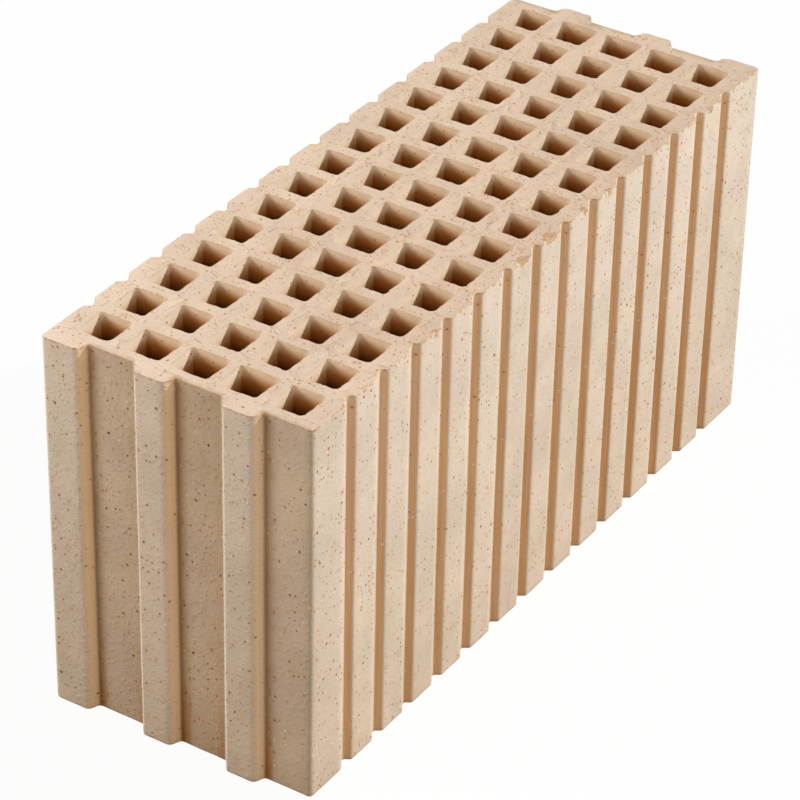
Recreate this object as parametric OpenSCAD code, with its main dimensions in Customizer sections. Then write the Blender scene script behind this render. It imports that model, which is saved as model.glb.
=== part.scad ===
// Vertically perforated clay block: rows of upright chambers, keyed ends and grooved long faces.
// Lengths are in millimetres. The block stands on its lower bed face, centred over the origin,
// with its length along X and its thickness along Y.

/* [Block] */
// Length over the key crests of both ends
block_l = 498; // [300:1:600]
// Thickness over the lands of both long faces
block_w = 175; // [120:1:300]
// Height between the two ground bed faces
block_h = 249; // [100:1:300]
// Radius of the four upright corners of the block
corner_r = 3; // [1:0.5:6]

/* [Chambers] */
// Clear size of a chamber along the length
chamber_l = 22.6; // [15:0.1:40]
// Clear size of a plain chamber across the thickness
chamber_w = 22; // [15:0.1:40]
// Radius of the upright corners inside a chamber
chamber_r = 3.5; // [1:0.25:6]
// Clay web between two rows of chambers
cross_web = 9; // [6:0.1:14]
// Clay web between two plain chambers of a row
long_web = 10; // [6:0.1:14]
// Clay web between two wide chambers of a row
thin_web = 6; // [4:0.1:10]
// Least wall between the end rows and the floor of the end recesses
end_wall_min = 8; // [6:0.5:20]
// Least wall between the outer chambers and the lands of the long faces
face_wall_min = 10; // [8:0.5:20]
// Rows around mid length that have a wide chamber in the middle column
mid_wide_rows = 7; // [1:2:9]

/* [End keys] */
// Number of keys on each end
key_n = 3; // [2:1:4]
// Depth of the recesses between the keys
key_depth = 7.5; // [4:0.5:12]
// Width of the flat crest of a key
key_crest = 19; // [10:0.5:22]
// Run of the sloping flank of a key
key_slope = 5; // [3:0.5:9]
// Run of the steep flank of a key
key_steep = 3; // [1:0.5:5]
// Radius of the two crest edges of a key
key_r = 2.5; // [0.5:0.25:4]
// Radius in the two feet of a key
key_foot_r = 2; // [0.5:0.25:4]

/* [Face grooves] */
// Depth of a groove of the long faces
groove_depth = 4; // [2:0.5:6]
// Run of the sloping flank of a groove
groove_slope = 6; // [2:0.5:8]
// Width of the floor of a groove
groove_floor = 2.5; // [2:0.5:6]
// Run of the steep flank of a groove
groove_steep = 2.5; // [1:0.5:4]
// Radius of the two mouth edges of a groove
groove_r = 2; // [0.5:0.25:3]
// Radius in the two feet of the flanks of a groove
groove_foot_r = 1; // [0.25:0.25:1.5]

/* [Hidden] */

// Most degrees that one flat of a round turns
flat_turn = 32;

// Chamber grid, with as many rows and columns as the walls leave room for
row_pitch = chamber_l + cross_web;
col_pitch = chamber_w + long_web;
wide_chamber_w = col_pitch - thin_web;
row_n = floor((block_l - 2 * (key_depth + end_wall_min) + cross_web) / row_pitch);
col_n = floor((block_w - 2 * face_wall_min + long_web) / col_pitch);
row_mid = (row_n - 1) / 2;
col_mid = (col_n - 1) / 2;

// Ends: one key and one recess in every pitch
key_pitch = block_w / key_n;
key_foot = key_slope + key_crest + key_steep;

// Width of a groove at its mouth
groove_w = groove_slope + groove_floor + groove_steep;

// Centre of a row along X and of a column along Y
function row_x(r) = (r - row_mid) * row_pitch;
function col_y(c) = (c - col_mid) * col_pitch;

// The end rows are wide in all but the outer columns, the middle rows in the middle column
function is_end_row(r) = r == 0 || r == row_n - 1;
function is_outer_col(c) = c == 0 || c == col_n - 1;
function is_mid_row(r) = abs(r - row_mid) <= (mid_wide_rows - 1) / 2;
function is_wide(r, c) = is_end_row(r) ? !is_outer_col(c) : is_mid_row(r) && c == col_mid;

// Unit vector from one point to another
function toward(from, to) = (to - from) / norm(to - from);

// Outline corners of a groove over the web behind row r, drawn for the face at -Y
function groove_corners(r) =
    let (x = row_x(r) + (row_pitch - groove_w) / 2, y = -block_w / 2) [
        [x, y, groove_r],
        [x + groove_slope, y + groove_depth, groove_foot_r],
        [x + groove_slope + groove_floor, y + groove_depth, groove_foot_r],
        [x + groove_w, y, groove_r]
    ];

// Outline corners of key k, drawn for the end at +X. The first key runs on into the long face.
function key_corners(k) =
    let (crest_x = block_l / 2, foot_x = crest_x - key_depth, y = k * key_pitch - block_w / 2) concat(
        k == 0 ? [[crest_x, y, corner_r]] : [[foot_x, y, key_foot_r], [crest_x, y + key_slope, key_r]],
        [[crest_x, y + key_slope + key_crest, key_r], [foot_x, y + key_foot, key_foot_r]]
    );

// Half of the outline: the corner beside the last recess, the long face at -Y, the end at +X
half_outline = concat(
    [[key_depth - block_l / 2, -block_w / 2, corner_r]],
    [for (r = [0 : row_n - 2]) each groove_corners(r)],
    [for (k = [0 : key_n - 1]) each key_corners(k)]
);

// Half a turn gives the other half, so that the ends of two blocks key into each other
outline = concat(half_outline, [for (corner = half_outline) [-corner[0], -corner[1], corner[2]]]);

// Corners of a chamber, centred
function chamber_corners(w) = [
    for (side = [[-1, -1], [1, -1], [1, 1], [-1, 1]])
        [side[0] * chamber_l / 2, side[1] * w / 2, chamber_r]
];

// Points of a round of radius r at point p, from the edge that leads to a to the edge that leads to b
function arc_points(p, a, b, r) =
    let (
        u = toward(p, a),
        v = toward(p, b),
        half_angle = acos(u * v) / 2,
        centre = p + toward([0, 0], u + v) * r / sin(half_angle),
        start = p + u * r / tan(half_angle) - centre,
        first_angle = atan2(start[1], start[0]),
        turn = 180 - 2 * half_angle,
        flats = ceil(turn / flat_turn),
        step = sign(cross(v, u)) * turn / flats
    ) [
        for (i = [0 : flats])
            let (angle = first_angle + i * step) centre + r * [cos(angle), sin(angle)]
    ];

// Plan point of a corner, which is given as [x, y, radius]
function plan(corner) = [corner[0], corner[1]];

// Points of a closed outline, counter-clockwise, with each corner rounded by its radius
function rounded(corners) =
    let (n = len(corners)) [
        for (i = [0 : n - 1])
            let (before = corners[(i + n - 1) % n], after = corners[(i + 1) % n])
                each arc_points(plan(corners[i]), plan(before), plan(after), corners[i][2])
    ];

// All chambers of the grid, in plan
module chambers() {
    for (r = [0 : row_n - 1], c = [0 : col_n - 1])
        translate([row_x(r), col_y(c)])
            polygon(rounded(chamber_corners(is_wide(r, c) ? wide_chamber_w : chamber_w)));
}

// The whole fired block: one section, drawn through the die over the full height
module clay_block() {
    color("burlywood") linear_extrude(block_h) difference() {
        polygon(rounded(outline));
        chambers();
    }
}

clay_block();
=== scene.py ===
import math

import bpy
import numpy as np
from mathutils import Matrix, Vector
from mathutils.geometry import delaunay_2d_cdt


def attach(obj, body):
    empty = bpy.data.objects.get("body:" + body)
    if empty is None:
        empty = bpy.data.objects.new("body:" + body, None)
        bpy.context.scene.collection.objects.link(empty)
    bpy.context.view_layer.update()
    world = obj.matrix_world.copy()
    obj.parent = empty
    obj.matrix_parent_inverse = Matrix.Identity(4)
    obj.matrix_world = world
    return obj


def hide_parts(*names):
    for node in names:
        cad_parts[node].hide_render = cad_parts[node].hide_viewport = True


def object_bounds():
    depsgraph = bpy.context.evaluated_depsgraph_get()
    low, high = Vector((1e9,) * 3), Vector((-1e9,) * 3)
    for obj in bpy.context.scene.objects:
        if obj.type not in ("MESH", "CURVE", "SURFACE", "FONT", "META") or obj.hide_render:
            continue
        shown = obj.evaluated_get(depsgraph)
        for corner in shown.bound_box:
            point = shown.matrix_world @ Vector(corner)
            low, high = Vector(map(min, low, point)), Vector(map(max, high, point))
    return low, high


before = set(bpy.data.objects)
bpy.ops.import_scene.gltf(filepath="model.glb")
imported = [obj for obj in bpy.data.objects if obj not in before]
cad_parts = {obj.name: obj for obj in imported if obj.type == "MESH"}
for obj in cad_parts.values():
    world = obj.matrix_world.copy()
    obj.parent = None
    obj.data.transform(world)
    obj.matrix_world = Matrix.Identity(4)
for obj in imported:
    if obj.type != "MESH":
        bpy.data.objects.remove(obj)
cad_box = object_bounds()

MM = 0.001

# Sizes in millimetres: the overall ones from the frame, the rest as in the part's source
BLOCK_L, BLOCK_W, BLOCK_H = [(high - low) / MM for low, high in zip(*cad_box)]
CORNER_R = 3.0
CHAMBER_L = 22.6
CHAMBER_W = 22.0
CROSS_WEB = 9.0
LONG_WEB = 10.0
THIN_WEB = 6.0
ROW_N = 15
COL_N = 5
MID_WIDE_ROWS = 7
KEY_N = 3
KEY_DEPTH = 7.5
KEY_CREST = 19.0
KEY_SLOPE = 5.0
KEY_STEEP = 3.0
KEY_R = 2.5
KEY_LIP_R = 4.5
KEY_FOOT_R = 2.0
GROOVE_DEPTH = 4.0
GROOVE_SLOPE = 6.0
GROOVE_FLOOR = 2.5
GROOVE_STEEP = 2.5
GROOVE_R = 2.0
GROOVE_LIP_R = 2.6
GROOVE_FOOT_R = 1.0

ROW_PITCH = CHAMBER_L + CROSS_WEB
COL_PITCH = CHAMBER_W + LONG_WEB
WIDE_CHAMBER_W = COL_PITCH - THIN_WEB
KEY_PITCH = BLOCK_W / KEY_N
GROOVE_W = GROOVE_SLOPE + GROOVE_FLOOR + GROOVE_STEEP
ROW_MID = (ROW_N - 1) / 2
COL_MID = (COL_N - 1) / 2

# How finely the surface is built
WALL_STEP = 3.4
CHIP_STEP = 1.1
ROW_STEP = 9.0
CHAMBER_STEP = 1.6
FILL_STEP = 4.6
ARC_STEP = math.radians(24)
CHAMBER_ARC_STEP = math.radians(30)
SHARP_ANGLE = math.radians(38)
RIM_STEPS = 2
OUTER_RIM_STEPS = 4

# Wall rows: the room left for the rims at the foot and the top, and the margin of the even rows
FOOT_RIM = 2.6
TOP_RIM = 2.0
ROW_MARGIN = 6.0
CHAMBER_FOOT_RIM = 2.2
CHAMBER_TOP_RIM = 1.8
CHAMBER_ROW_MARGIN = 20.0

# Pits: how many, least radius, how much more it can be, and how seldom the large ones are
WALL_PITS = 1800
TOP_PITS = 420
BOTTOM_PITS = 60
PIT_SIDES = 6
WALL_PIT_R = 0.45
WALL_PIT_MORE = 0.6
CAP_PIT_R = 0.32
CAP_PIT_MORE = 0.5
PIT_SKEW = 1.8

# Cracks, and the clear room round what is set into an end face
TOP_CRACKS = 110
CRACK_MARGIN = 2.1
CRACK_APART = 2.4
PIT_MARGIN = 2.6
PIT_APART = 2.6
PIT_OFF_CRACK = 2.0
FILL_MARGIN = 1.9
FILL_OFF_FEATURE = 1.2
# Points are scaled by these before the test that they lie inside the rim
FEATURE_EDGE_SHARE = 1.02
FILL_EDGE_SHARE = 1.006

# Chips in the top edge of the front: place along X, half length, inset and drop
CHIPS = [
    (0.5, 7.4, 4.4, 1.3),
    (-29.5, 6.4, 3.2, 1.0),
    (38.0, 3.0, 2.2, 0.9),
    (66.0, 2.6, 1.8, 0.8),
    (-122.0, 2.6, 1.6, 0.8),
    (187.0, 3.0, 1.8, 0.9),
]
CHIP_BAND = 4.5
CHIP_DROP_MAX = 1.7
CHIP_ROUGH = 0.7
FINE_BAND = 4.0
FINE_MARGIN = 3.0

# How far a chamber is out of line and out of square
CHAMBER_SHIFT = 0.18
CHAMBER_RADII = np.array([2.2, 2.6, 2.4, 3.6])
RADIUS_SPREAD = 0.4
WIDE_BOW = 0.8
PLAIN_BOW = 0.2

# Reach of the colour marks on the outer wall, most of them painted light and shade
EDGE_TOLERANCE = 0.5
FLANK_SHADE = 11.0
SLOPE_SHADE = 9.0
LIP_BAND = 0.8
LAST_FLANK_SHARE = 0.7
GROOVE_LIP_SHARE = 0.25
RIM_GROOVE_SHARE = 0.65
RIM_FLANK_SHARE = 0.5

rng = np.random.default_rng(20260)


# Seeded value noise

LATTICE = 32
lattice_values = np.random.default_rng(7).random((LATTICE, LATTICE, LATTICE))


def noise(points, wave, offset=0.0):
    """Smooth noise from 0 to 1 at points, with features about one wave across."""
    p = np.asarray(points, dtype=float) / np.asarray(wave, dtype=float) + offset
    base = np.floor(p).astype(int)
    t = p - base
    t = t * t * (3 - 2 * t)
    total = np.zeros(len(p))
    for corner in np.ndindex(2, 2, 2):
        weight = np.ones(len(p))
        for axis in range(3):
            weight *= t[:, axis] if corner[axis] else 1 - t[:, axis]
        i, j, k = ((base + corner) % LATTICE).T
        total += weight * lattice_values[i, j, k]
    return total


def smooth_step(low, high, value):
    t = np.clip((value - low) / (high - low), 0, 1)
    return t * t * (3 - 2 * t)


# Section of the block

def row_x(r):
    return (r - ROW_MID) * ROW_PITCH


def col_y(c):
    return (c - COL_MID) * COL_PITCH


def is_wide(r, c):
    if r in (0, ROW_N - 1):
        return c not in (0, COL_N - 1)
    return abs(r - ROW_MID) <= (MID_WIDE_ROWS - 1) / 2 and c == COL_MID


def chamber_half_w(r, c):
    return (WIDE_CHAMBER_W if is_wide(r, c) else CHAMBER_W) / 2


def groove_corners(r):
    x = row_x(r) + (ROW_PITCH - GROOVE_W) / 2
    y = -BLOCK_W / 2
    return [
        (x, y, GROOVE_R),
        (x + GROOVE_SLOPE, y + GROOVE_DEPTH, GROOVE_FOOT_R),
        (x + GROOVE_SLOPE + GROOVE_FLOOR, y + GROOVE_DEPTH, GROOVE_FOOT_R),
        (x + GROOVE_W, y, GROOVE_LIP_R),
    ]


def key_corners(k):
    crest = BLOCK_L / 2
    foot = crest - KEY_DEPTH
    y = k * KEY_PITCH - BLOCK_W / 2
    y_steep = y + KEY_SLOPE + KEY_CREST
    first = [(foot, y, KEY_FOOT_R), (crest, y + KEY_SLOPE, KEY_R)]
    if k == 0:
        first = [(crest, y, CORNER_R)]
    return first + [(crest, y_steep, KEY_LIP_R), (foot, y_steep + KEY_STEEP, KEY_FOOT_R)]


def block_corners():
    half = [(KEY_DEPTH - BLOCK_L / 2, -BLOCK_W / 2, CORNER_R)]
    for r in range(ROW_N - 1):
        half += groove_corners(r)
    for k in range(KEY_N):
        half += key_corners(k)
    return half + [(-x, -y, r) for x, y, r in half]


def wall_step_at(point):
    """Shorter steps where the top edge of the front is chipped."""
    for x, half, _, _ in CHIPS:
        if point[1] < FINE_BAND - BLOCK_W / 2 and abs(point[0] - x) < half + FINE_MARGIN:
            return CHIP_STEP
    return WALL_STEP


def chamber_step_at(point):
    return CHAMBER_STEP


def trace(corners, step_at, arc_step):
    """Points of a loop with rounded corners, and the directions that point out of the clay.
    The clay is on the left of the way round."""
    n = len(corners)
    arcs = []
    for i in range(n):
        p = np.array(corners[i][:2])
        a = np.array(corners[i - 1][:2])
        b = np.array(corners[(i + 1) % n][:2])
        r = corners[i][2]
        u = (a - p) / np.linalg.norm(a - p)
        v = (b - p) / np.linalg.norm(b - p)
        half = math.acos(np.clip(u @ v, -1, 1)) / 2
        side = 1.0 if v[0] * u[1] - v[1] * u[0] > 0 else -1.0
        mid = (u + v) / np.linalg.norm(u + v)
        centre = p + mid * r / math.sin(half)
        start = p + u * r / math.tan(half) - centre
        first = math.atan2(start[1], start[0])
        turn = side * (math.pi - 2 * half)
        steps = max(2, math.ceil(abs(turn) / arc_step))
        angles = first + turn * np.arange(steps + 1) / steps
        way = np.stack([np.cos(angles), np.sin(angles)], 1)
        arcs.append((centre + r * way, side * way))
    points = []
    normals = []
    for i in range(n):
        points += list(arcs[i][0])
        normals += list(arcs[i][1])
        begin = arcs[i][0][-1]
        end = arcs[(i + 1) % n][0][0]
        span = np.linalg.norm(end - begin)
        steps = max(1, round(span / step_at((begin + end) / 2)))
        for s in range(1, steps):
            points.append(begin + (end - begin) * s / steps)
            normals.append(arcs[i][1][-1])
    return np.array(points), np.array(normals)


# Mesh of the block, gathered piece by piece

class Skin:
    """Vertices with their marks, and faces."""

    MARKS = ("pit", "tone", "chip", "rim", "cap", "hole", "end", "flank", "groove", "recess", "lip")

    def __init__(self):
        self.places = []
        self.marks = {name: [] for name in self.MARKS}
        self.faces = []
        self.count = 0

    def add(self, places, **given):
        """Adds vertices with their marks, and returns the number of the first."""
        first = self.count
        places = np.asarray(places, dtype=float)
        self.places.append(places)
        self.count += len(places)
        for name, parts in self.marks.items():
            value = np.asarray(given.get(name, 0.0), dtype=float)
            parts.append(np.broadcast_to(value, (len(places),)))
        return first


skin = Skin()


def add_pit(corner_ids, corners, centre, across, inward, radius, depth, given):
    """Replaces one wall cell by a small pit: a ragged rim, a lower ring and its floor."""
    up = np.array([0.0, 0.0, 1.0])
    angles = 2 * math.pi * (np.arange(PIT_SIDES) + rng.random()) / PIT_SIDES
    ragged = radius * rng.uniform(0.7, 1.2, PIT_SIDES)
    ring = (np.cos(angles) * ragged)[:, None] * across + (np.sin(angles) * ragged)[:, None] * up
    rim = centre + ring
    low = centre + 0.65 * ring + inward * (depth * rng.uniform(0.8, 1.1, PIT_SIDES))[:, None]
    pit_mark = np.concatenate([np.full(PIT_SIDES, 0.45), np.ones(PIT_SIDES)])
    first = skin.add(np.concatenate([rim, low]), **given, pit=pit_mark, tone=rng.random())
    rim_ids = [first + i for i in range(PIT_SIDES)]
    low_ids = [first + PIT_SIDES + i for i in range(PIT_SIDES)]
    for i in range(PIT_SIDES):
        j = (i + 1) % PIT_SIDES
        skin.faces.append((rim_ids[i], rim_ids[j], low_ids[j], low_ids[i]))
    skin.faces.append(tuple(low_ids))
    # Each rim edge goes to the cell corner that it faces, and the corners are joined between
    corner_angle = [math.atan2((p - centre) @ up, (p - centre) @ across) for p in corners]
    facing = []
    for i in range(PIT_SIDES):
        middle = (rim[i] + rim[(i + 1) % PIT_SIDES]) / 2 - centre
        angle = math.atan2(middle @ up, middle @ across)
        away = [abs((angle - c + math.pi) % (2 * math.pi) - math.pi) for c in corner_angle]
        facing.append(int(np.argmin(away)))
    for i in range(PIT_SIDES):
        j = (i + 1) % PIT_SIDES
        skin.faces.append((corner_ids[facing[i]], rim_ids[j], rim_ids[i]))
        here = facing[i]
        while here != facing[j]:
            after = (here + 1) % 4
            skin.faces.append((corner_ids[here], corner_ids[after], rim_ids[j]))
            here = after


def put_pits(ids, place, normals, pits, given):
    """Puts a pit at a random place in each listed cell, and returns the cells."""
    n = len(normals)
    for i, j, radius, depth in pits:
        k = (i + 1) % n
        cell = [(j, i), (j, k), (j + 1, k), (j + 1, i)]
        corner_ids = [int(ids[spot]) for spot in cell]
        corners = [place[spot] for spot in cell]
        across = corners[1] - corners[0]
        width = np.linalg.norm(across)
        height = corners[3][2] - corners[0][2]
        room = 1.25 * radius
        s = rng.uniform(room / width, 1 - room / width)
        t = rng.uniform(room / height, 1 - room / height)
        low_edge = corners[0] * (1 - s) + corners[1] * s
        high_edge = corners[3] * (1 - s) + corners[2] * s
        centre = low_edge * (1 - t) + high_edge * t
        inward = np.array([-normals[i][0], -normals[i][1], 0.0])
        pit_given = {name: float(value[i]) for name, value in given.items()}
        add_pit(corner_ids, corners, centre, across / width, inward, radius, depth, pit_given)
    return {(i, j) for i, j, _, _ in pits}


def build_tube(points, normals, rows, top, bottom, dent, given, rim_steps=RIM_STEPS, rough=0.0, pits=()):
    """A wall over the whole height with its rims. top and bottom give each point's inset and drop.
    Returns the vertex numbers and places of the two rim loops that bound the end faces."""
    n = len(points)
    insets = []
    levels = []
    rim_mark = []
    for step in range(rim_steps):
        angle = math.pi / 2 * (1 - step / rim_steps)
        insets.append(bottom[0] * (1 - math.cos(angle)))
        levels.append(bottom[1] * (1 - math.sin(angle)))
        rim_mark.append(0.5)
    for z in rows:
        insets.append(np.zeros(n))
        levels.append(np.full(n, z))
        rim_mark.append(0.0)
    for step in range(1, rim_steps + 1):
        angle = math.pi / 2 * step / rim_steps
        insets.append(top[0] * (1 - math.cos(angle)))
        ragged = noise(np.column_stack([points, np.full(n, 3.0 * step)]), 1.7, 21.3)
        levels.append(BLOCK_H - top[1] * (1 - math.sin(angle)) - rough * ragged)
        rim_mark.append(1.0)
    count = len(insets)
    place = np.column_stack([np.tile(points, (count, 1)), np.concatenate(levels)])
    shift = np.concatenate(insets) + dent(place)
    place[:, :2] -= np.tile(normals, (count, 1)) * shift[:, None]
    tiled = {name: np.tile(value, count) for name, value in given.items()}
    first = skin.add(place, rim=np.repeat(rim_mark, n), **tiled)
    ids = first + np.arange(count * n).reshape(count, n)
    place = place.reshape(count, n, 3)
    raised = [(i, j + rim_steps, radius, depth) for i, j, radius, depth in pits]
    taken = put_pits(ids, place, normals, raised, given)
    for j in range(count - 1):
        for i in range(n):
            if (i, j) not in taken:
                k = (i + 1) % n
                cell = (ids[j, i], ids[j, k], ids[j + 1, k], ids[j + 1, i])
                skin.faces.append(tuple(int(v) for v in cell))
    return ids[0], place[0], ids[-1], place[-1]


# Outer wall

outline, outward = trace(block_corners(), wall_step_at, ARC_STEP)
outline_n = len(outline)
side_x = np.sign(outline[:, 0])
side_y = np.sign(outline[:, 1])
along_end = np.abs(outline[:, 0]) > BLOCK_L / 2 - KEY_DEPTH - EDGE_TOLERANCE
inner_y = np.abs(outline[:, 1]) < BLOCK_W / 2 - EDGE_TOLERANCE
groove_down = BLOCK_W / 2 - np.abs(outline[:, 1])
recess_down = BLOCK_L / 2 - np.abs(outline[:, 0])

# Marks for painted light and shade: of the steep flanks of keys, of the floors of recesses and grooves, and
# of their steep flanks
into_key = np.mod(outline[:, 1] * side_x + BLOCK_W / 2, KEY_PITCH)
key_foot = KEY_SLOPE + KEY_CREST + KEY_STEEP
by_flank = smooth_step(key_foot + FLANK_SHADE, key_foot, into_key) * (into_key > key_foot - KEY_STEEP)
by_slope = smooth_step(KEY_PITCH - SLOPE_SHADE, KEY_PITCH, into_key)
last_key = outline[:, 1] * side_x > BLOCK_W / 2 - KEY_PITCH
in_recess = along_end * inner_y * smooth_step(2.0, KEY_DEPTH, recess_down)
# Painted warm light on the steep flanks of keys, weaker on the last key
flank_face = along_end * inner_y * smooth_step(0.5, 0.88, outward[:, 1] * side_x)
flank_light_mark = flank_face * np.where(last_key, LAST_FLANK_SHARE, 1.0)
# Painted shadow in the grooves: over the floor past the slope and the steep flank
into_groove = np.mod(-side_y * outline[:, 0] - row_x(0) - (ROW_PITCH - GROOVE_W) / 2, ROW_PITCH)
past_slope = smooth_step(GROOVE_SLOPE + 0.2, GROOVE_SLOPE + GROOVE_FLOOR - 0.2, into_groove)
groove_shadow_mark = ~along_end * past_slope * smooth_step(0.1, 1.3, groove_down)
# Painted shade in the recesses: it grows towards each steep flank and each slope, and changes across the
# end
across_end = outline[:, 1] * side_x / KEY_PITCH
recess_shade_tone = np.interp(across_end, (-0.75, 0.25, 1.25), (0.7, 1.0, 0.65))
recess_shade_mark = in_recess * (recess_shade_tone + 0.4 * by_slope + 1.1 * by_flank ** 2)
# Painted highlights on the lips of the key slopes and, fainter, beside the grooves
slope_turn = -outward[:, 1] * side_x
lip_highlight_mark = along_end * inner_y * smooth_step(0.05, 0.3, slope_turn) * smooth_step(0.82, 0.6, slope_turn)
from_lip = np.abs(np.mod(into_groove + ROW_PITCH / 2, ROW_PITCH) - ROW_PITCH / 2)
lip_highlight_mark = np.maximum(lip_highlight_mark, GROOVE_LIP_SHARE * ~along_end * (from_lip < LIP_BAND))
wall_marks = {
    "end": along_end * 1.0,
    "flank": flank_light_mark,
    "groove": groove_shadow_mark,
    "recess": recess_shade_mark,
    "lip": lip_highlight_mark,
}

even_row_n = round((BLOCK_H - 2 * ROW_MARGIN) / ROW_STEP) + 1
even_rows = np.linspace(ROW_MARGIN, BLOCK_H - ROW_MARGIN, even_row_n)
wall_rows = np.concatenate([[FOOT_RIM], even_rows, [BLOCK_H - TOP_RIM]])


def wall_dent(place):
    """How far the outer wall lies inside its drawn line."""
    slow = noise(place, (38, 38, 60), 3.1)
    lumps = noise(place, (7, 7, 13), 9.7)
    fine = noise(place, (2.6, 2.6, 9), 5.3)
    return 0.14 * slow + 0.12 * lumps + 0.03 * fine


rim_points = np.column_stack([outline, np.full(outline_n, BLOCK_H)])
torn = noise(rim_points, 3.0, 1.7) * 0.6 + noise(rim_points, 8.0, 4.4) * 0.4
nick = smooth_step(0.72, 0.95, noise(rim_points, 5.5, 12.9))
top_inset = 0.12 + 0.35 * torn + 0.6 * nick
top_drop = 0.25 + 0.55 * torn + 0.7 * nick
chip_mark = 0.45 * nick
front = outline[:, 1] < CHIP_BAND - BLOCK_W / 2
jag = 0.55 + 0.75 * noise(rim_points, 2.2, 6.1)
for chip_x, chip_half, chip_inset, chip_drop in CHIPS:
    near = np.clip(1 - ((outline[:, 0] - chip_x) / chip_half) ** 2, 0, 1) * front
    top_inset = np.maximum(top_inset, chip_inset * near ** 0.6 * jag)
    top_drop = np.maximum(top_drop, np.minimum(chip_drop * near ** 0.5 * jag, CHIP_DROP_MAX))
    chip_mark = np.maximum(chip_mark, near ** 0.5)
foot_points = np.column_stack([outline, np.zeros(outline_n)])
bottom_inset = 0.9 + 0.5 * noise(foot_points, 9.0, 2.2)
bottom_drop = 1.5 + 0.8 * noise(foot_points, 11.0, 8.8)


def choose_wall_pits():
    """Pits of the outer wall, in cells that are wide enough: cell, radius and depth."""
    step_width = np.linalg.norm(np.roll(outline, -1, axis=0) - outline, axis=1)
    roomy = np.flatnonzero((step_width > 2.5) & (flank_light_mark + groove_shadow_mark < 0.5))
    pits = []
    seen = set()
    while len(pits) < WALL_PITS:
        cell = (int(rng.choice(roomy)), int(rng.integers(0, len(wall_rows) - 1)))
        radius = WALL_PIT_R + WALL_PIT_MORE * rng.random() ** PIT_SKEW
        room = min(step_width[cell[0]], wall_rows[cell[1] + 1] - wall_rows[cell[1]])
        if cell not in seen and room > 2.6 * radius:
            seen.add(cell)
            pits.append((*cell, radius, radius * rng.uniform(0.25, 0.55)))
    return pits


outer_loops = build_tube(outline, outward, wall_rows, (top_inset, top_drop), (bottom_inset, bottom_drop),
                         wall_dent, wall_marks, OUTER_RIM_STEPS, CHIP_ROUGH * chip_mark, choose_wall_pits())


# Chambers

low_rows = [CHAMBER_FOOT_RIM, CHAMBER_ROW_MARGIN]
high_rows = [BLOCK_H - CHAMBER_ROW_MARGIN, BLOCK_H - CHAMBER_TOP_RIM]
chamber_rows = np.array(low_rows + high_rows)


def chamber_dent(place):
    return 0.35 * noise(place, (6, 6, 14), 7.7) - 0.15


def build_chamber(row, column):
    """One chamber: a little out of line and square, with torn rims."""
    shift_x, shift_y = rng.normal(0, CHAMBER_SHIFT, 2)
    x = row_x(row) + shift_x
    y = col_y(column) + shift_y
    half_l = CHAMBER_L / 2
    half_w = chamber_half_w(row, column)
    bow = WIDE_BOW if is_wide(row, column) else PLAIN_BOW
    radii = CHAMBER_RADII + rng.uniform(-RADIUS_SPREAD, RADIUS_SPREAD, 4)
    # Clockwise, so that the clay is on the left
    corners = [
        (x - half_l, y - half_w + bow, radii[0]),
        (x - half_l, y + half_w, radii[1]),
        (x + half_l, y + half_w, radii[2]),
        (x + half_l, y - half_w, radii[3]),
    ]
    loop, loop_out = trace(corners, chamber_step_at, CHAMBER_ARC_STEP)
    line = np.column_stack([loop, np.full(len(loop), BLOCK_H)])
    ragged = noise(line, 1.9, 2.9)
    tear = smooth_step(0.58, 0.85, noise(line, 3.4, 15.1))
    rim_inset = 0.05 + 0.85 * ragged + 0.95 * tear
    rim_drop = 0.15 + 0.55 * ragged + 0.7 * tear
    line[:, 2] = 0
    foot_inset = 0.3 + 0.7 * noise(line, 3.1, 4.6)
    return build_tube(loop, loop_out, chamber_rows, (rim_inset, rim_drop), (foot_inset, foot_inset * 1.1),
                      chamber_dent, {"hole": np.ones(len(loop))})


chamber_loops = [build_chamber(row, column) for row in range(ROW_N) for column in range(COL_N)]


# End faces

def inside_loop(points, loop):
    """Which points lie in a closed loop."""
    result = np.zeros(len(points), dtype=bool)
    for a, b in zip(loop, np.roll(loop, -1, axis=0)):
        crosses = (a[1] > points[:, 1]) != (b[1] > points[:, 1])
        if crosses.any():
            at = a[0] + (points[:, 1] - a[1]) / (b[1] - a[1] + 1e-12) * (b[0] - a[0])
            result ^= crosses & (points[:, 0] < at)
    return result


def clear_of_holes(points, margin):
    """Points that keep a margin from the chambers' drawn lines."""
    keep = np.ones(len(points), dtype=bool)
    for row in range(ROW_N):
        for column in range(COL_N):
            dx = np.abs(points[:, 0] - row_x(row)) - CHAMBER_L / 2
            dy = np.abs(points[:, 1] - col_y(column)) - chamber_half_w(row, column)
            keep &= np.maximum(dx, dy) > margin
    return keep


def far_from(points, others, distance):
    """Points that keep a distance from all the others."""
    keep = np.ones(len(points), dtype=bool)
    for p in others:
        keep &= np.hypot(*(points - p).T) > distance
    return keep


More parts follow.
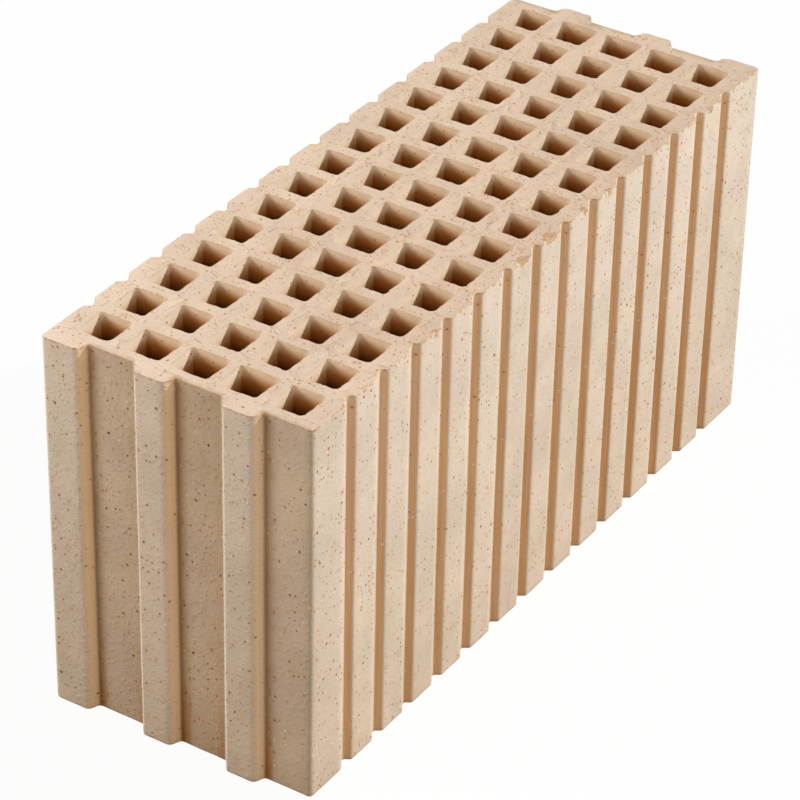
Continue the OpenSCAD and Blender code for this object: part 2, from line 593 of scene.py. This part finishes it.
def crack_points(outer):
    """Short cracks that start near chamber corners: rows of x, y, depth and mark, one array each."""
    cracks = []
    used = np.zeros((0, 2))
    while len(cracks) < TOP_CRACKS:
        row = rng.integers(0, ROW_N)
        column = rng.integers(0, COL_N)
        corner = rng.choice([-1, 1], 2)
        reach = np.array([CHAMBER_L / 2, chamber_half_w(row, column)]) + 2.2
        start = np.array([row_x(row), col_y(column)]) + corner * (reach - [1.5, 0.0])
        angle = rng.integers(0, 4) * math.pi / 2 + rng.normal(0, 0.3)
        steps = rng.integers(3, 9)
        line = [start]
        for _ in range(steps):
            angle += rng.normal(0, 0.3)
            line.append(line[-1] + rng.uniform(0.9, 1.7) * np.array([math.cos(angle), math.sin(angle)]))
        line = np.array(line)
        free = clear_of_holes(line, CRACK_MARGIN) & inside_loop(line * FEATURE_EDGE_SHARE, outer)
        if not (free & far_from(line, used, CRACK_APART)).all():
            continue
        used = np.concatenate([used, line])
        way = np.gradient(line, axis=0)
        across = np.stack([-way[:, 1], way[:, 0]], 1) / np.linalg.norm(way, axis=1)[:, None]
        half = rng.uniform(0.22, 0.38) * np.sin(np.linspace(0.35, math.pi - 0.35, len(line)))[:, None]
        zero = np.zeros(len(line))
        depth = rng.uniform(0.12, 0.3)
        cracks.append(np.concatenate([
            np.column_stack([line, zero + depth, zero + 0.85]),
            np.column_stack([line + across * half, zero, zero]),
            np.column_stack([line - across * half, zero, zero]),
        ]))
    return cracks


def pit_points(outer, pit_count, cracks):
    """Pits of an end face: rows of x, y, depth and mark, one array each."""
    reach = np.array([BLOCK_L, BLOCK_W]) / 2 - 4
    spots = rng.uniform(-reach, reach, (pit_count * 8, 2))
    spots = spots[inside_loop(spots * FEATURE_EDGE_SHARE, outer) & clear_of_holes(spots, PIT_MARGIN)]
    for crack in cracks:
        spots = spots[far_from(spots, crack[:, :2], PIT_OFF_CRACK)]
    pits = []
    centres = np.zeros((0, 2))
    for spot in spots:
        if len(pits) == pit_count:
            break
        if not far_from(spot[None], centres, PIT_APART).all():
            continue
        centres = np.concatenate([centres, spot[None]])
        radius = CAP_PIT_R + CAP_PIT_MORE * rng.random() ** PIT_SKEW
        depth = radius * rng.uniform(0.3, 0.6)
        angles = 2 * math.pi * (np.arange(PIT_SIDES) + rng.random()) / PIT_SIDES
        ragged = radius * rng.uniform(0.7, 1.25, PIT_SIDES)
        ring = np.stack([np.cos(angles) * ragged, np.sin(angles) * ragged], 1)
        zero = np.zeros(PIT_SIDES)
        pits.append(np.concatenate([
            np.column_stack([spot + ring, zero, zero + 0.45]),
            np.column_stack([spot + 0.6 * ring, zero + depth, zero + 1.0]),
        ]))
    return pits


def build_cap(loops, is_top, pit_count):
    """The cut face at one end: its rim loops, jittered points between them, pits and cracks."""
    ids = []
    places = []
    edges = []
    for loop_ids, loop_places in loops:
        first = len(ids)
        count = len(loop_ids)
        ids += [int(v) for v in loop_ids]
        places += list(loop_places)
        edges += [(first + i, first + (i + 1) % count) for i in range(count)]
    rim_n = len(ids)
    outer = np.array(loops[0][1])[:, :2]
    xs = np.arange(-BLOCK_L / 2 + 2, BLOCK_L / 2, FILL_STEP)
    ys = np.arange(-BLOCK_W / 2 + 2, BLOCK_W / 2, FILL_STEP)
    grid = np.stack(np.meshgrid(xs, ys), -1).reshape(-1, 2)
    grid = grid + rng.uniform(-0.3, 0.3, grid.shape) * FILL_STEP
    grid = grid[inside_loop(grid * FILL_EDGE_SHARE, outer) & clear_of_holes(grid, FILL_MARGIN)]
    cracks = crack_points(outer) if is_top else []
    pits = pit_points(outer, pit_count, cracks)
    for feature in cracks + pits:
        grid = grid[far_from(grid, feature[:, :2], FILL_OFF_FEATURE)]
    zero = np.zeros(len(grid))
    parts = [np.column_stack([grid, zero, zero])] + cracks + pits
    tones = np.concatenate([np.full(len(part), rng.random()) for part in parts])
    inner = np.concatenate(parts)
    level = BLOCK_H if is_top else 0.0
    side = -1.0 if is_top else 1.0
    fill = np.column_stack([inner[:, :2], np.full(len(inner), level)])
    fill[:, 2] += side * (0.22 * noise(fill, 12, 3.3) + 0.1 * noise(fill, 4, 1.1) + inner[:, 2])
    first = skin.add(fill, cap=1.0, pit=inner[:, 3], tone=tones)
    ids += [first + i for i in range(len(fill))]
    flat = [Vector(p[:2]) for p in places] + [Vector(p[:2]) for p in fill]
    out_points, _, out_faces, from_points, _, _ = delaunay_2d_cdt(flat, edges, [], 0, 1e-6)
    source = np.array([min(group) if group else -1 for group in from_points])
    if source.min() < 0:
        raise RuntimeError("the rim loops of an end face cross")
    xy = np.array([p[:] for p in out_points])
    triangles = np.array(out_faces)
    centres = xy[triangles].mean(axis=1)
    keep = inside_loop(centres, outer)
    only_rim = (source[triangles] < rim_n).all(axis=1)
    for _, loop_places in loops[1:]:
        loop_xy = np.array(loop_places)[:, :2]
        past_low = (centres > loop_xy.min(axis=0)).all(axis=1)
        below_high = (centres < loop_xy.max(axis=0)).all(axis=1)
        index = np.flatnonzero(only_rim & past_low & below_high)
        if len(index):
            keep[index] &= ~inside_loop(centres[index], loop_xy)
    for a, b, c in triangles[keep]:
        turn = np.cross(xy[b] - xy[a], xy[c] - xy[a])
        face = (ids[source[a]], ids[source[b]], ids[source[c]])
        skin.faces.append(face if (turn > 0) == is_top else face[::-1])


all_loops = [outer_loops] + chamber_loops
build_cap([(loop[0], loop[1]) for loop in all_loops], False, BOTTOM_PITS)
build_cap([(loop[2], loop[3]) for loop in all_loops], True, TOP_PITS)


# The finished object

def make_block():
    vertices = np.concatenate(skin.places)
    values = {name: np.concatenate(parts).copy() for name, parts in skin.marks.items()}
    # The rim of an end face belongs to that face and keeps a crisp edge
    cap_rim = np.zeros(skin.count, dtype=bool)
    for loop in all_loops:
        cap_rim[loop[0]] = True
        cap_rim[loop[2]] = True
    values["cap"][cap_rim] = 1.0
    values["rim"][cap_rim] = 0.0
    values["hole"][cap_rim] = 0.0
    for ring in range(OUTER_RIM_STEPS + 1):
        rim_ids = outer_loops[2] - ring * outline_n
        values["chip"][rim_ids] = chip_mark
        # The painted shadow in grooves and painted light on flanks are weaker on the top rim rings
        values["groove"][rim_ids] *= RIM_GROOVE_SHARE
        values["flank"][rim_ids] *= RIM_FLANK_SHARE
    mesh = bpy.data.meshes.new("clay_block_fired")
    mesh.from_pydata((vertices * MM).tolist(), [], skin.faces)
    mesh.validate()
    mesh.shade_smooth()
    mesh.set_sharp_from_angle(angle=SHARP_ANGLE)
    ends = np.empty(len(mesh.edges) * 2, dtype=np.int32)
    mesh.edges.foreach_get("vertices", ends)
    sharp = mesh.attributes.get("sharp_edge") or mesh.attributes.new("sharp_edge", "BOOLEAN", "EDGE")
    is_sharp = np.zeros(len(mesh.edges), dtype=bool)
    sharp.data.foreach_get("value", is_sharp)
    is_sharp |= cap_rim[ends.reshape(-1, 2)].all(axis=1)
    sharp.data.foreach_set("value", is_sharp)
    for name, value in values.items():
        attribute = mesh.attributes.new(name, "FLOAT", "POINT")
        attribute.data.foreach_set("value", value.astype(np.float32))
    made = bpy.data.objects.new("clay_block_fired", mesh)
    bpy.context.scene.collection.objects.link(made)
    return made


block = make_block()


# Material of the fired clay

def rgb(r, g, b):
    return (r, g, b, 1.0)


class Nodes:
    """Short forms for building a node tree, which is emptied first."""

    def __init__(self, tree):
        self.tree = tree
        tree.nodes.clear()

    def add(self, kind, settings=None, **inputs):
        made = self.tree.nodes.new(kind)
        for name, value in (settings or {}).items():
            setattr(made, name, value)
        for name, value in inputs.items():
            self.put(made.inputs[name.replace("_", " ")], value)
        return made

    def put(self, socket, value):
        if isinstance(value, bpy.types.NodeSocket):
            self.tree.links.new(value, socket)
        else:
            socket.default_value = value

    def math(self, operation, *values):
        made = self.add("ShaderNodeMath", {"operation": operation})
        for socket, value in zip(made.inputs, values):
            self.put(socket, value)
        return made.outputs[0]

    def times(self, *values):
        total = values[0]
        for value in values[1:]:
            total = self.math("MULTIPLY", total, value)
        return total

    def span(self, value, low, high, to_low=0.0, to_high=1.0, smooth=True):
        """Maps a value from one span to another, held at the ends."""
        made = self.add("ShaderNodeMapRange", {"interpolation_type": "SMOOTHSTEP" if smooth else "LINEAR"})
        for name, number in (("Value", value), ("From Min", low), ("From Max", high),
                             ("To Min", to_low), ("To Max", to_high)):
            self.put(made.inputs[name], number)
        return made.outputs["Result"]

    def between(self, factor, a, b):
        """The number that lies a share of the way from a to b."""
        return self.math("MULTIPLY_ADD", factor, self.math("SUBTRACT", b, a), a)

    def mix(self, factor, a, b, kind="MIX"):
        made = self.add("ShaderNodeMix", {"data_type": "RGBA", "blend_type": kind})
        self.put(made.inputs["Factor"], factor)
        colour_a, colour_b = [s for s in made.inputs if s.type == "RGBA"]
        self.put(colour_a, a)
        self.put(colour_b, b)
        return [s for s in made.outputs if s.type == "RGBA"][0]

    def tinted(self, factor, a, b):
        return self.mix(factor, a, b, "MULTIPLY")

    def vector(self, operation, a, b):
        made = self.add("ShaderNodeVectorMath", {"operation": operation})
        self.put(made.inputs[0], a)
        self.put(made.inputs[1], b)
        return made.outputs[0]

    def mark(self, name):
        return self.add("ShaderNodeAttribute", {"attribute_name": name}).outputs["Fac"]

    def noise(self, where, scale, detail=1.0, rough=0.5, output="Fac"):
        made = self.add("ShaderNodeTexNoise", None, Vector=where, Scale=scale, Detail=detail,
                        Roughness=rough)
        return made.outputs[output]

    def specks(self, where, per_mm, radius, soft):
        """Round specks, one in each cell of a field of points: the spot and its three random numbers."""
        kind = {"feature": "F1", "voronoi_dimensions": "2D"}
        made = self.add("ShaderNodeTexVoronoi", kind, Vector=where, Scale=per_mm)
        parts = self.add("ShaderNodeSeparateColor", None, Color=made.outputs["Color"])
        size = self.span(parts.outputs[1], 0.0, 1.0, 0.5 * radius * per_mm, radius * per_mm, False)
        inner = self.math("MULTIPLY", size, 1.0 - soft)
        spot = self.span(made.outputs["Distance"], inner, size, 1.0, 0.0)
        return spot, parts.outputs

    def looked_at(self):
        """1 for rays from the camera, also by way of a mirror or glass, and 0 for rays of light."""
        path = self.add("ShaderNodeLightPath").outputs
        indirect = self.math("MAXIMUM", path["Is Glossy Ray"], path["Is Transmission Ray"])
        return self.math("MAXIMUM", path["Is Camera Ray"], indirect)

    def blend(self, factor, a, b):
        made = self.add("ShaderNodeMixShader", None, Fac=factor)
        self.put(made.inputs[1], a.outputs[0])
        self.put(made.inputs[2], b.outputs[0])
        return made

    def close(self, kind, shader):
        self.put(self.add(kind).inputs["Surface"], shader.outputs[0])


def new_material(name):
    material = bpy.data.materials.new(name)
    material.use_nodes = True
    return material, Nodes(material.node_tree)


# Colours of the walls, from the low to the high X end, lighter towards the high X end as painted light from
# the key's side, and of the cut faces, from low to high Y
WALL_DIM_LOW_X = rgb(0.725, 0.622, 0.507)
WALL_LIT_HIGH_X = rgb(0.78, 0.68, 0.563)
CUT_LOW_Y = rgb(0.703, 0.545, 0.421)
CUT_HIGH_Y = rgb(0.757, 0.604, 0.469)
CUT_LOW_X = rgb(0.86, 0.71, 0.565)

# Painted light and shade: warm painted light on the flanks of keys, painted shadow bands in the grooves and
# painted highlights on the lips
FLANK_PAINTED_LIGHT = rgb(0.97, 0.69, 0.42)
SHADOW_BAND_LIGHT = rgb(0.74, 0.468, 0.25)
SHADOW_BAND_DARK = rgb(0.65, 0.39, 0.194)
SHADOW_BAND_TOP = rgb(0.92, 0.66, 0.44)
LIP_HIGHLIGHT = rgb(0.95, 0.86, 0.74)

# Painted light and shade of the chamber walls, from the mouth down: pale where the key light falls, then
# darkening to brown with depth
MOUTH_LOW_X = rgb(0.80, 0.61, 0.43)
MOUTH = rgb(0.665, 0.54, 0.41)
UPPER_WALL = rgb(0.76, 0.625, 0.49)
MIDDLE_WALL = rgb(0.86, 0.69, 0.49)
LOWER_WALL = rgb(0.95, 0.585, 0.285)
SHADED_BROWN_WALL = rgb(0.55, 0.23, 0.062)
DEEP_SHADE_WALL = rgb(0.16, 0.050, 0.010)

# Colours of scratches, rims, breaks, specks and pits
STREAK = rgb(0.60, 0.46, 0.33)
SCRATCH = rgb(0.50, 0.29, 0.15)
RIM_LINE = rgb(0.54, 0.295, 0.14)
BREAK_LIGHT = rgb(0.70, 0.42, 0.22)
BREAK_DARK = rgb(0.44, 0.215, 0.095)
SPECK_LIGHT = rgb(0.60, 0.31, 0.12)
SPECK_DARK = rgb(0.33, 0.135, 0.045)
SPECK_ON_CUT = rgb(0.60, 0.33, 0.15)
SPECK_FINE = rgb(0.52, 0.27, 0.12)
SPECK_PALE = rgb(0.87, 0.81, 0.72)
PIT_LIGHT = rgb(0.58, 0.30, 0.125)
PIT_DARK = rgb(0.26, 0.105, 0.036)
PIT_ON_CUT = rgb(0.60, 0.33, 0.16)

# Tints that the colour below is multiplied by: the pink and pale ones are mottling, the others painted
# shade
PINK_TINT = rgb(0.97, 0.89, 0.82)
PALE_TINT = rgb(1.03, 1.02, 1.02)
RECESS_SHADE_TINT = rgb(0.80, 0.72, 0.62)
FOOT_SHADE_TINT = rgb(0.72, 0.57, 0.41)
LOW_RECESS_SHADE_TINT = rgb(0.92, 0.66, 0.42)
LOW_SHADE_TINT = rgb(0.80, 0.71, 0.61)
FIRST_LAND_SHADE_TINT = rgb(0.87, 0.86, 0.84)
SHADOW_BAND_HIGH_X_TINT = rgb(0.97, 0.87, 0.75)

# Moves the specks of a face away from those of the face behind it
BEHIND_SHIFT = 311.0
CLAY_ROUGHNESS = 0.93
CLAY_SPECULAR = 0.04
BUMP_STRENGTH = 0.8


class Spot:
    """Where a point of the clay lies in millimetres, which way it faces, its marks and two noises."""

    def __init__(self, n):
        place = n.add("ShaderNodeTexCoord").outputs["Object"]
        self.mm = n.vector("MULTIPLY", place, (1 / MM, 1 / MM, 1 / MM))
        self.x, self.y, self.height = n.add("ShaderNodeSeparateXYZ", None, Vector=self.mm).outputs
        normal = n.add("ShaderNodeNewGeometry").outputs["Normal"]
        self.normal_x, self.normal_y, _ = n.add("ShaderNodeSeparateXYZ", None, Vector=normal).outputs
        for name in Skin.MARKS:
            setattr(self, name, n.mark(name))
        self.not_cap = n.math("SUBTRACT", 1.0, self.cap)
        self.blotch = n.noise(self.mm, 0.13, 2.0)
        self.streak = n.noise(n.vector("MULTIPLY", self.mm, (0.45, 0.45, 0.012)), 1.0, 2.0, 0.6)


def face_colour(n, at):
    """Colour of the faces, with broad, pinkish and fine mottling and faint streaks of the die."""
    # Painted light: the walls grow lighter towards the high X end, the side of the key light
    base = n.mix(n.span(at.x, -200.0, 230.0), WALL_DIM_LOW_X, WALL_LIT_HIGH_X)
    cut = n.mix(n.span(at.y, -85.0, 85.0, 0.0, 1.0, False), CUT_LOW_Y, CUT_HIGH_Y)
    cut = n.mix(n.span(at.x, -249.0, -110.0, 0.35, 0.0), cut, CUT_LOW_X)
    base = n.mix(at.cap, base, cut)
    broad = n.span(n.noise(at.mm, 0.022, 2.0), 0.3, 0.7, 0.94, 1.05)
    grain = n.span(n.noise(at.mm, 1.1, 1.0, 0.7), 0.25, 0.75, 0.955, 1.04)
    level = n.math("MULTIPLY", broad, grain)
    tint = n.add("ShaderNodeCombineColor", None, Red=level, Green=level, Blue=level).outputs[0]
    base = n.tinted(1.0, base, tint)
    base = n.tinted(n.span(at.blotch, 0.45, 0.75, 0.0, n.between(at.cap, 0.55, 0.3)), base, PINK_TINT)
    base = n.tinted(n.span(at.blotch, 0.5, 0.25, 0.0, 0.3), base, PALE_TINT)
    return n.mix(n.times(n.span(at.streak, 0.52, 0.75, 0.0, 0.06), at.not_cap), base, STREAK)


def add_painted_shade(n, at, base):
    """Painted shade: the recesses, their feet, the lower part and the first land are made a little darker
    and warmer, where shade falls.
    """
    high = n.span(at.height, 100.0, BLOCK_H, 0.75, 1.0, False)
    # Painted shade in the recesses, stronger towards the top
    base = n.tinted(n.times(n.math("MINIMUM", at.recess, 1.0), high), base, RECESS_SHADE_TINT)
    # Painted shade at the feet of the steep flanks
    base = n.tinted(n.span(at.recess, 1.0, 2.1, 0.0, 1.0, False), base, FOOT_SHADE_TINT)
    # Painted shade low down in the recesses, warmer
    low_recess_shade = n.times(n.span(at.recess, 0.9, 1.25), n.span(at.height, 0.0, 60.0, 0.85, 0.0))
    base = n.tinted(low_recess_shade, base, LOW_RECESS_SHADE_TINT)
    # Painted shade: the walls darker and warmer towards the bottom
    low = n.span(at.height, 0.0, 220.0, 0.55, 0.0, False)
    base = n.tinted(n.times(low, at.not_cap), base, LOW_SHADE_TINT)
    not_end = n.math("SUBTRACT", 1.0, at.end)
    # Painted shadow on the first land next to the near end
    first_land_shade = n.times(n.span(at.x, -225.0, -205.0, 0.5, 0.0), not_end, at.not_cap)
    return n.tinted(first_land_shade, base, FIRST_LAND_SHADE_TINT)


def add_painted_flank_light_and_shade(n, at, base):
    """Painted light and shade: warmer painted light on the steep flanks of keys, painted shadow bands on
    the steep flanks of grooves, and paler painted highlights on the lips.
    """
    # Painted warm light on the steep flanks of keys
    base = n.mix(n.times(at.flank, 0.95), base, FLANK_PAINTED_LIGHT)
    # Painted shadow bands in the grooves, darker and warmer, paler towards the top
    shadow_band = n.mix(n.span(at.streak, 0.35, 0.65), SHADOW_BAND_LIGHT, SHADOW_BAND_DARK)
    shadow_band = n.tinted(n.span(at.x, -230.0, 150.0), shadow_band, SHADOW_BAND_HIGH_X_TINT)
    shadow_band = n.mix(n.span(at.height, 60.0, 240.0, 0.0, 0.2), shadow_band, SHADOW_BAND_TOP)
    base = n.mix(n.times(at.groove, 0.95), base, shadow_band)
    # Painted highlights on the lips
    return n.mix(n.times(at.lip, 0.7), base, LIP_HIGHLIGHT)


def add_painted_chamber_shade(n, at, base):
    """Painted shade in the chambers: the walls turn to a dark brown with depth, soonest those that face the
    low X end, away from the key light.
    """
    to_end = n.math("MINIMUM", at.height, n.math("SUBTRACT", BLOCK_H, at.height))
    slow = n.span(at.normal_x, -0.85, -0.35)
    depth = n.math("SUBTRACT", n.times(to_end, n.between(slow, 1.18, 0.85)), n.times(slow, 2.8))
    # Painted shade: the mouth colour depends on which way a wall faces the key light
    base = n.mix(at.hole, base, n.mix(slow, MOUTH_LOW_X, MOUTH))
    # Walls that do not face the low X end stay pale where the key light falls and turn warmer further down,
    # painted light and shade
    for low, high, colour in ((0.3, 4.0, UPPER_WALL), (3.5, 7.0, MIDDLE_WALL), (7.5, 13.0, LOWER_WALL)):
        base = n.mix(n.times(n.span(to_end, low, high), at.hole, slow), base, colour)
    # Painted shade: every chamber wall darkens to brown and then almost black with depth
    for low, high, colour in ((2.5, 12.0, SHADED_BROWN_WALL), (8.0, 22.0, DEEP_SHADE_WALL)):
        base = n.mix(n.times(n.span(depth, low, high), at.hole), base, colour)
    return base


def add_wear(n, at, base):
    """Thin drag scratches on the cut faces, a patchy warm line on the rims, and rough breaks."""
    scratch = n.math("ABSOLUTE", n.math("SUBTRACT", n.noise(at.mm, 0.09, 2.0, 0.55), 0.5))
    thin = n.span(scratch, 0.002, 0.010, 1.0, 0.0)
    base = n.mix(n.times(thin, n.span(at.blotch, 0.47, 0.56), at.cap, 0.65), base, SCRATCH)
    patch = n.span(n.noise(at.mm, 0.35, 1.0), 0.38, 0.62)
    weaker_high_x = n.span(at.normal_x, 0.0, 0.5, 1.0, 0.15)
    base = n.mix(n.times(at.rim, patch, n.between(at.hole, 0.8, 0.2), weaker_high_x), base, RIM_LINE)
    crumb = n.noise(at.mm, 0.9, 2.0, 0.7)
    broken = n.mix(n.span(crumb, 0.35, 0.62), BREAK_LIGHT, BREAK_DARK)
    chipped = n.math("ADD", at.chip, n.math("MULTIPLY_ADD", crumb, 1.1, -0.55))
    return n.mix(n.span(chipped, 0.45, 0.75, 0.0, 0.7), base, broken)


def add_specks(n, at, base):
    """Ragged specks of burnt-out grains and a few pale grains, laid out along each face, and pits."""
    faces_y = n.math("GREATER_THAN", n.math("ABSOLUTE", at.normal_y), n.math("ABSOLUTE", at.normal_x))
    behind = n.math("GREATER_THAN", n.math("ADD", at.normal_x, at.normal_y), 0.0)
    along_wall = n.math("ADD", n.between(faces_y, at.y, at.x), n.times(behind, BEHIND_SHIFT))
    flat_x = n.between(at.cap, along_wall, at.x)
    flat_y = n.between(at.cap, at.height, at.y)
    flat = n.add("ShaderNodeCombineXYZ", None, X=flat_x, Y=flat_y).outputs[0]
    ragged = n.noise(at.mm, 0.8, 1.0, 0.5, "Color")
    shifted = n.vector("ADD", flat, n.vector("MULTIPLY", ragged, (1.6, 1.6, 1.6)))
    coarse, coarse_parts = n.specks(shifted, 0.26, 0.9, 0.4)
    fine, fine_parts = n.specks(shifted, 0.6, 0.36, 0.5)

    gathered = n.span(at.blotch, 0.3, 0.7, 0.35, 1.65)
    fine_share = n.times(gathered, n.span(at.cap, 0.0, 1.0, 0.06, 0.28))
    is_fine = n.math("LESS_THAN", fine_parts[0], fine_share)
    base = n.mix(n.times(fine, is_fine, 0.8), base, SPECK_FINE)

    on_wall = n.span(n.math("MAXIMUM", at.end, at.hole), 0.0, 1.0, 0.24, 0.08)
    coarse_share = n.times(gathered, on_wall, n.span(at.groove, 0.0, 1.0, 1.0, 0.5))
    is_coarse = n.math("LESS_THAN", coarse_parts[0], coarse_share)
    coarse_colour = n.mix(coarse_parts[2], SPECK_LIGHT, SPECK_DARK)
    coarse_colour = n.mix(n.times(at.cap, 0.4), coarse_colour, SPECK_ON_CUT)
    base = n.mix(n.times(coarse, is_coarse, 0.9), base, coarse_colour)

    is_pale = n.math("GREATER_THAN", coarse_parts[0], 0.965)
    base = n.mix(n.times(coarse, is_pale, 0.6), base, SPECK_PALE)

    pit_colour = n.mix(at.tone, PIT_LIGHT, PIT_DARK)
    pit_colour = n.mix(n.times(at.cap, 0.55), pit_colour, PIT_ON_CUT)
    return n.mix(n.times(n.span(at.pit, 0.3, 0.8), 0.95), base, pit_colour)


def relief(n, at):
    """Fine relief in millimetres: grain, sandy lumps, and drag lines on the cut faces."""
    grain = n.times(n.noise(at.mm, 1.3, 1.0, 0.6), 0.07)
    sandy = n.noise(at.mm, 0.42, 1.0, 0.5)
    blisters = n.times(n.span(sandy, 0.60, 0.74), n.span(at.end, 0.0, 1.0, 0.05, 0.22))
    lumps = n.math("ADD", blisters, n.times(sandy, n.span(at.end, 0.0, 1.0, 0.22, 0.5)))
    drag = n.times(n.noise(n.vector("MULTIPLY", at.mm, (0.06, 0.9, 0.9)), 1.0, 1.0), at.cap, 0.12)
    return n.math("ADD", grain, n.math("ADD", lumps, drag))


def fired_clay():
    material, n = new_material("fired_clay_surface")
    at = Spot(n)
    base = face_colour(n, at)
    for layer in (add_painted_shade, add_painted_flank_light_and_shade, add_painted_chamber_shade, add_wear, add_specks):
        base = layer(n, at, base)
    bump = n.add("ShaderNodeBump", None, Strength=BUMP_STRENGTH, Distance=MM, Height=relief(n, at))
    shader = n.add("ShaderNodeBsdfPrincipled", None, Roughness=CLAY_ROUGHNESS, Base_Color=base,
                   Normal=bump.outputs[0])
    shader.inputs["Specular IOR Level"].default_value = CLAY_SPECULAR
    n.close("ShaderNodeOutputMaterial", shader)
    return material


block.data.materials.append(fired_clay())
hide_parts("clay_block")
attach(block, "root")


# Floor: pale to the eye, with the block's shadow on it, and duller to the light

WHITE = rgb(1.0, 1.0, 1.0)
FLOOR_HALF = 6.0
FLOOR_GAP = 0.0002
FLOOR_GLOW_SHARE = 0.94
FLOOR_TO_LIGHT = rgb(0.26, 0.21, 0.17)
FLOOR_TO_EYE = rgb(0.9, 0.9, 0.9)


def pale_floor():
    material, n = new_material("studio_floor")
    dull = n.add("ShaderNodeBsdfDiffuse", None, Color=FLOOR_TO_LIGHT)
    pale = n.add("ShaderNodeBsdfDiffuse", None, Color=FLOOR_TO_EYE)
    glow = n.add("ShaderNodeEmission", None, Color=WHITE, Strength=1.0)
    shown = n.blend(FLOOR_GLOW_SHARE, pale, glow)
    n.close("ShaderNodeOutputMaterial", n.blend(n.looked_at(), dull, shown))
    return material


floor_corners = [(-FLOOR_HALF, -FLOOR_HALF, 0), (FLOOR_HALF, -FLOOR_HALF, 0),
                 (FLOOR_HALF, FLOOR_HALF, 0), (-FLOOR_HALF, FLOOR_HALF, 0)]
floor_mesh = bpy.data.meshes.new("floor")
floor_mesh.from_pydata(floor_corners, [], [(0, 1, 2, 3)])
floor = bpy.data.objects.new("floor", floor_mesh)
floor.location = (0, 0, -FLOOR_GAP)
floor.data.materials.append(pale_floor())
bpy.context.scene.collection.objects.link(floor)


# Light: a key from the front right, a fill on the near end and a soft light on the long face

def add_light(name, kind, place, toward, **settings):
    data = bpy.data.lights.new(name, kind)
    for key, value in settings.items():
        setattr(data, key, value)
    made = bpy.data.objects.new(name, data)
    made.location = place
    made.rotation_mode = "QUATERNION"
    made.rotation_quaternion = (Vector(toward) - Vector(place)).to_track_quat("-Z", "Y")
    bpy.context.scene.collection.objects.link(made)


add_light("key", "SUN", (5.5, -5.8, 5.7), (0, 0, 0),
          energy=2.80, angle=math.radians(4.0), color=(0.97, 0.99, 1.0))
add_light("fill", "AREA", (-1.75, 1.7, 1.15), (-0.2, 0, 0.15),
          energy=42, shape="RECTANGLE", size=1.4, size_y=1.0, color=(1.0, 0.95, 0.89))
add_light("side", "AREA", (-0.95, -4.2, 1.15), (-0.1, 0, 0.12),
          energy=55, shape="RECTANGLE", size=2.0, size_y=1.0, color=(1.0, 0.97, 0.93))


# World: white to the eye, and a weak warm light from all round

WORLD_LIGHT = rgb(1.0, 0.91, 0.81)
WORLD_STRENGTH = 0.27

world = bpy.data.worlds.new("studio")
bpy.context.scene.world = world
world.use_nodes = True
world_nodes = Nodes(world.node_tree)
dim = world_nodes.add("ShaderNodeBackground", None, Color=WORLD_LIGHT, Strength=WORLD_STRENGTH)
white = world_nodes.add("ShaderNodeBackground", None, Color=WHITE, Strength=1.0)
world_nodes.close("ShaderNodeOutputWorld", world_nodes.blend(world_nodes.looked_at(), dim, white))


# Camera of the photograph

SENSOR_WIDTH = 36.0
LENS = 162.869
CAMERA_PLACE = (-1.54286, -0.97158, 1.31026)
CAMERA_FORWARD = (0.70313, 0.44869, -0.55163)
CAMERA_UP = (0.45319, 0.31502, 0.83389)

camera_data = bpy.data.cameras.new("camera")
camera_data.sensor_width = SENSOR_WIDTH
camera_data.lens = LENS
camera = bpy.data.objects.new("camera", camera_data)
bpy.context.scene.collection.objects.link(camera)
forward = Vector(CAMERA_FORWARD).normalized()
right = forward.cross(Vector(CAMERA_UP)).normalized()
up = right.cross(forward)
turn = Matrix((right, up, -forward)).transposed()
camera.matrix_world = Matrix.Translation(CAMERA_PLACE) @ turn.to_4x4()
bpy.context.scene.camera = camera

bpy.context.scene.view_settings.view_transform = "Standard"

bpy.context.view_layer.update()
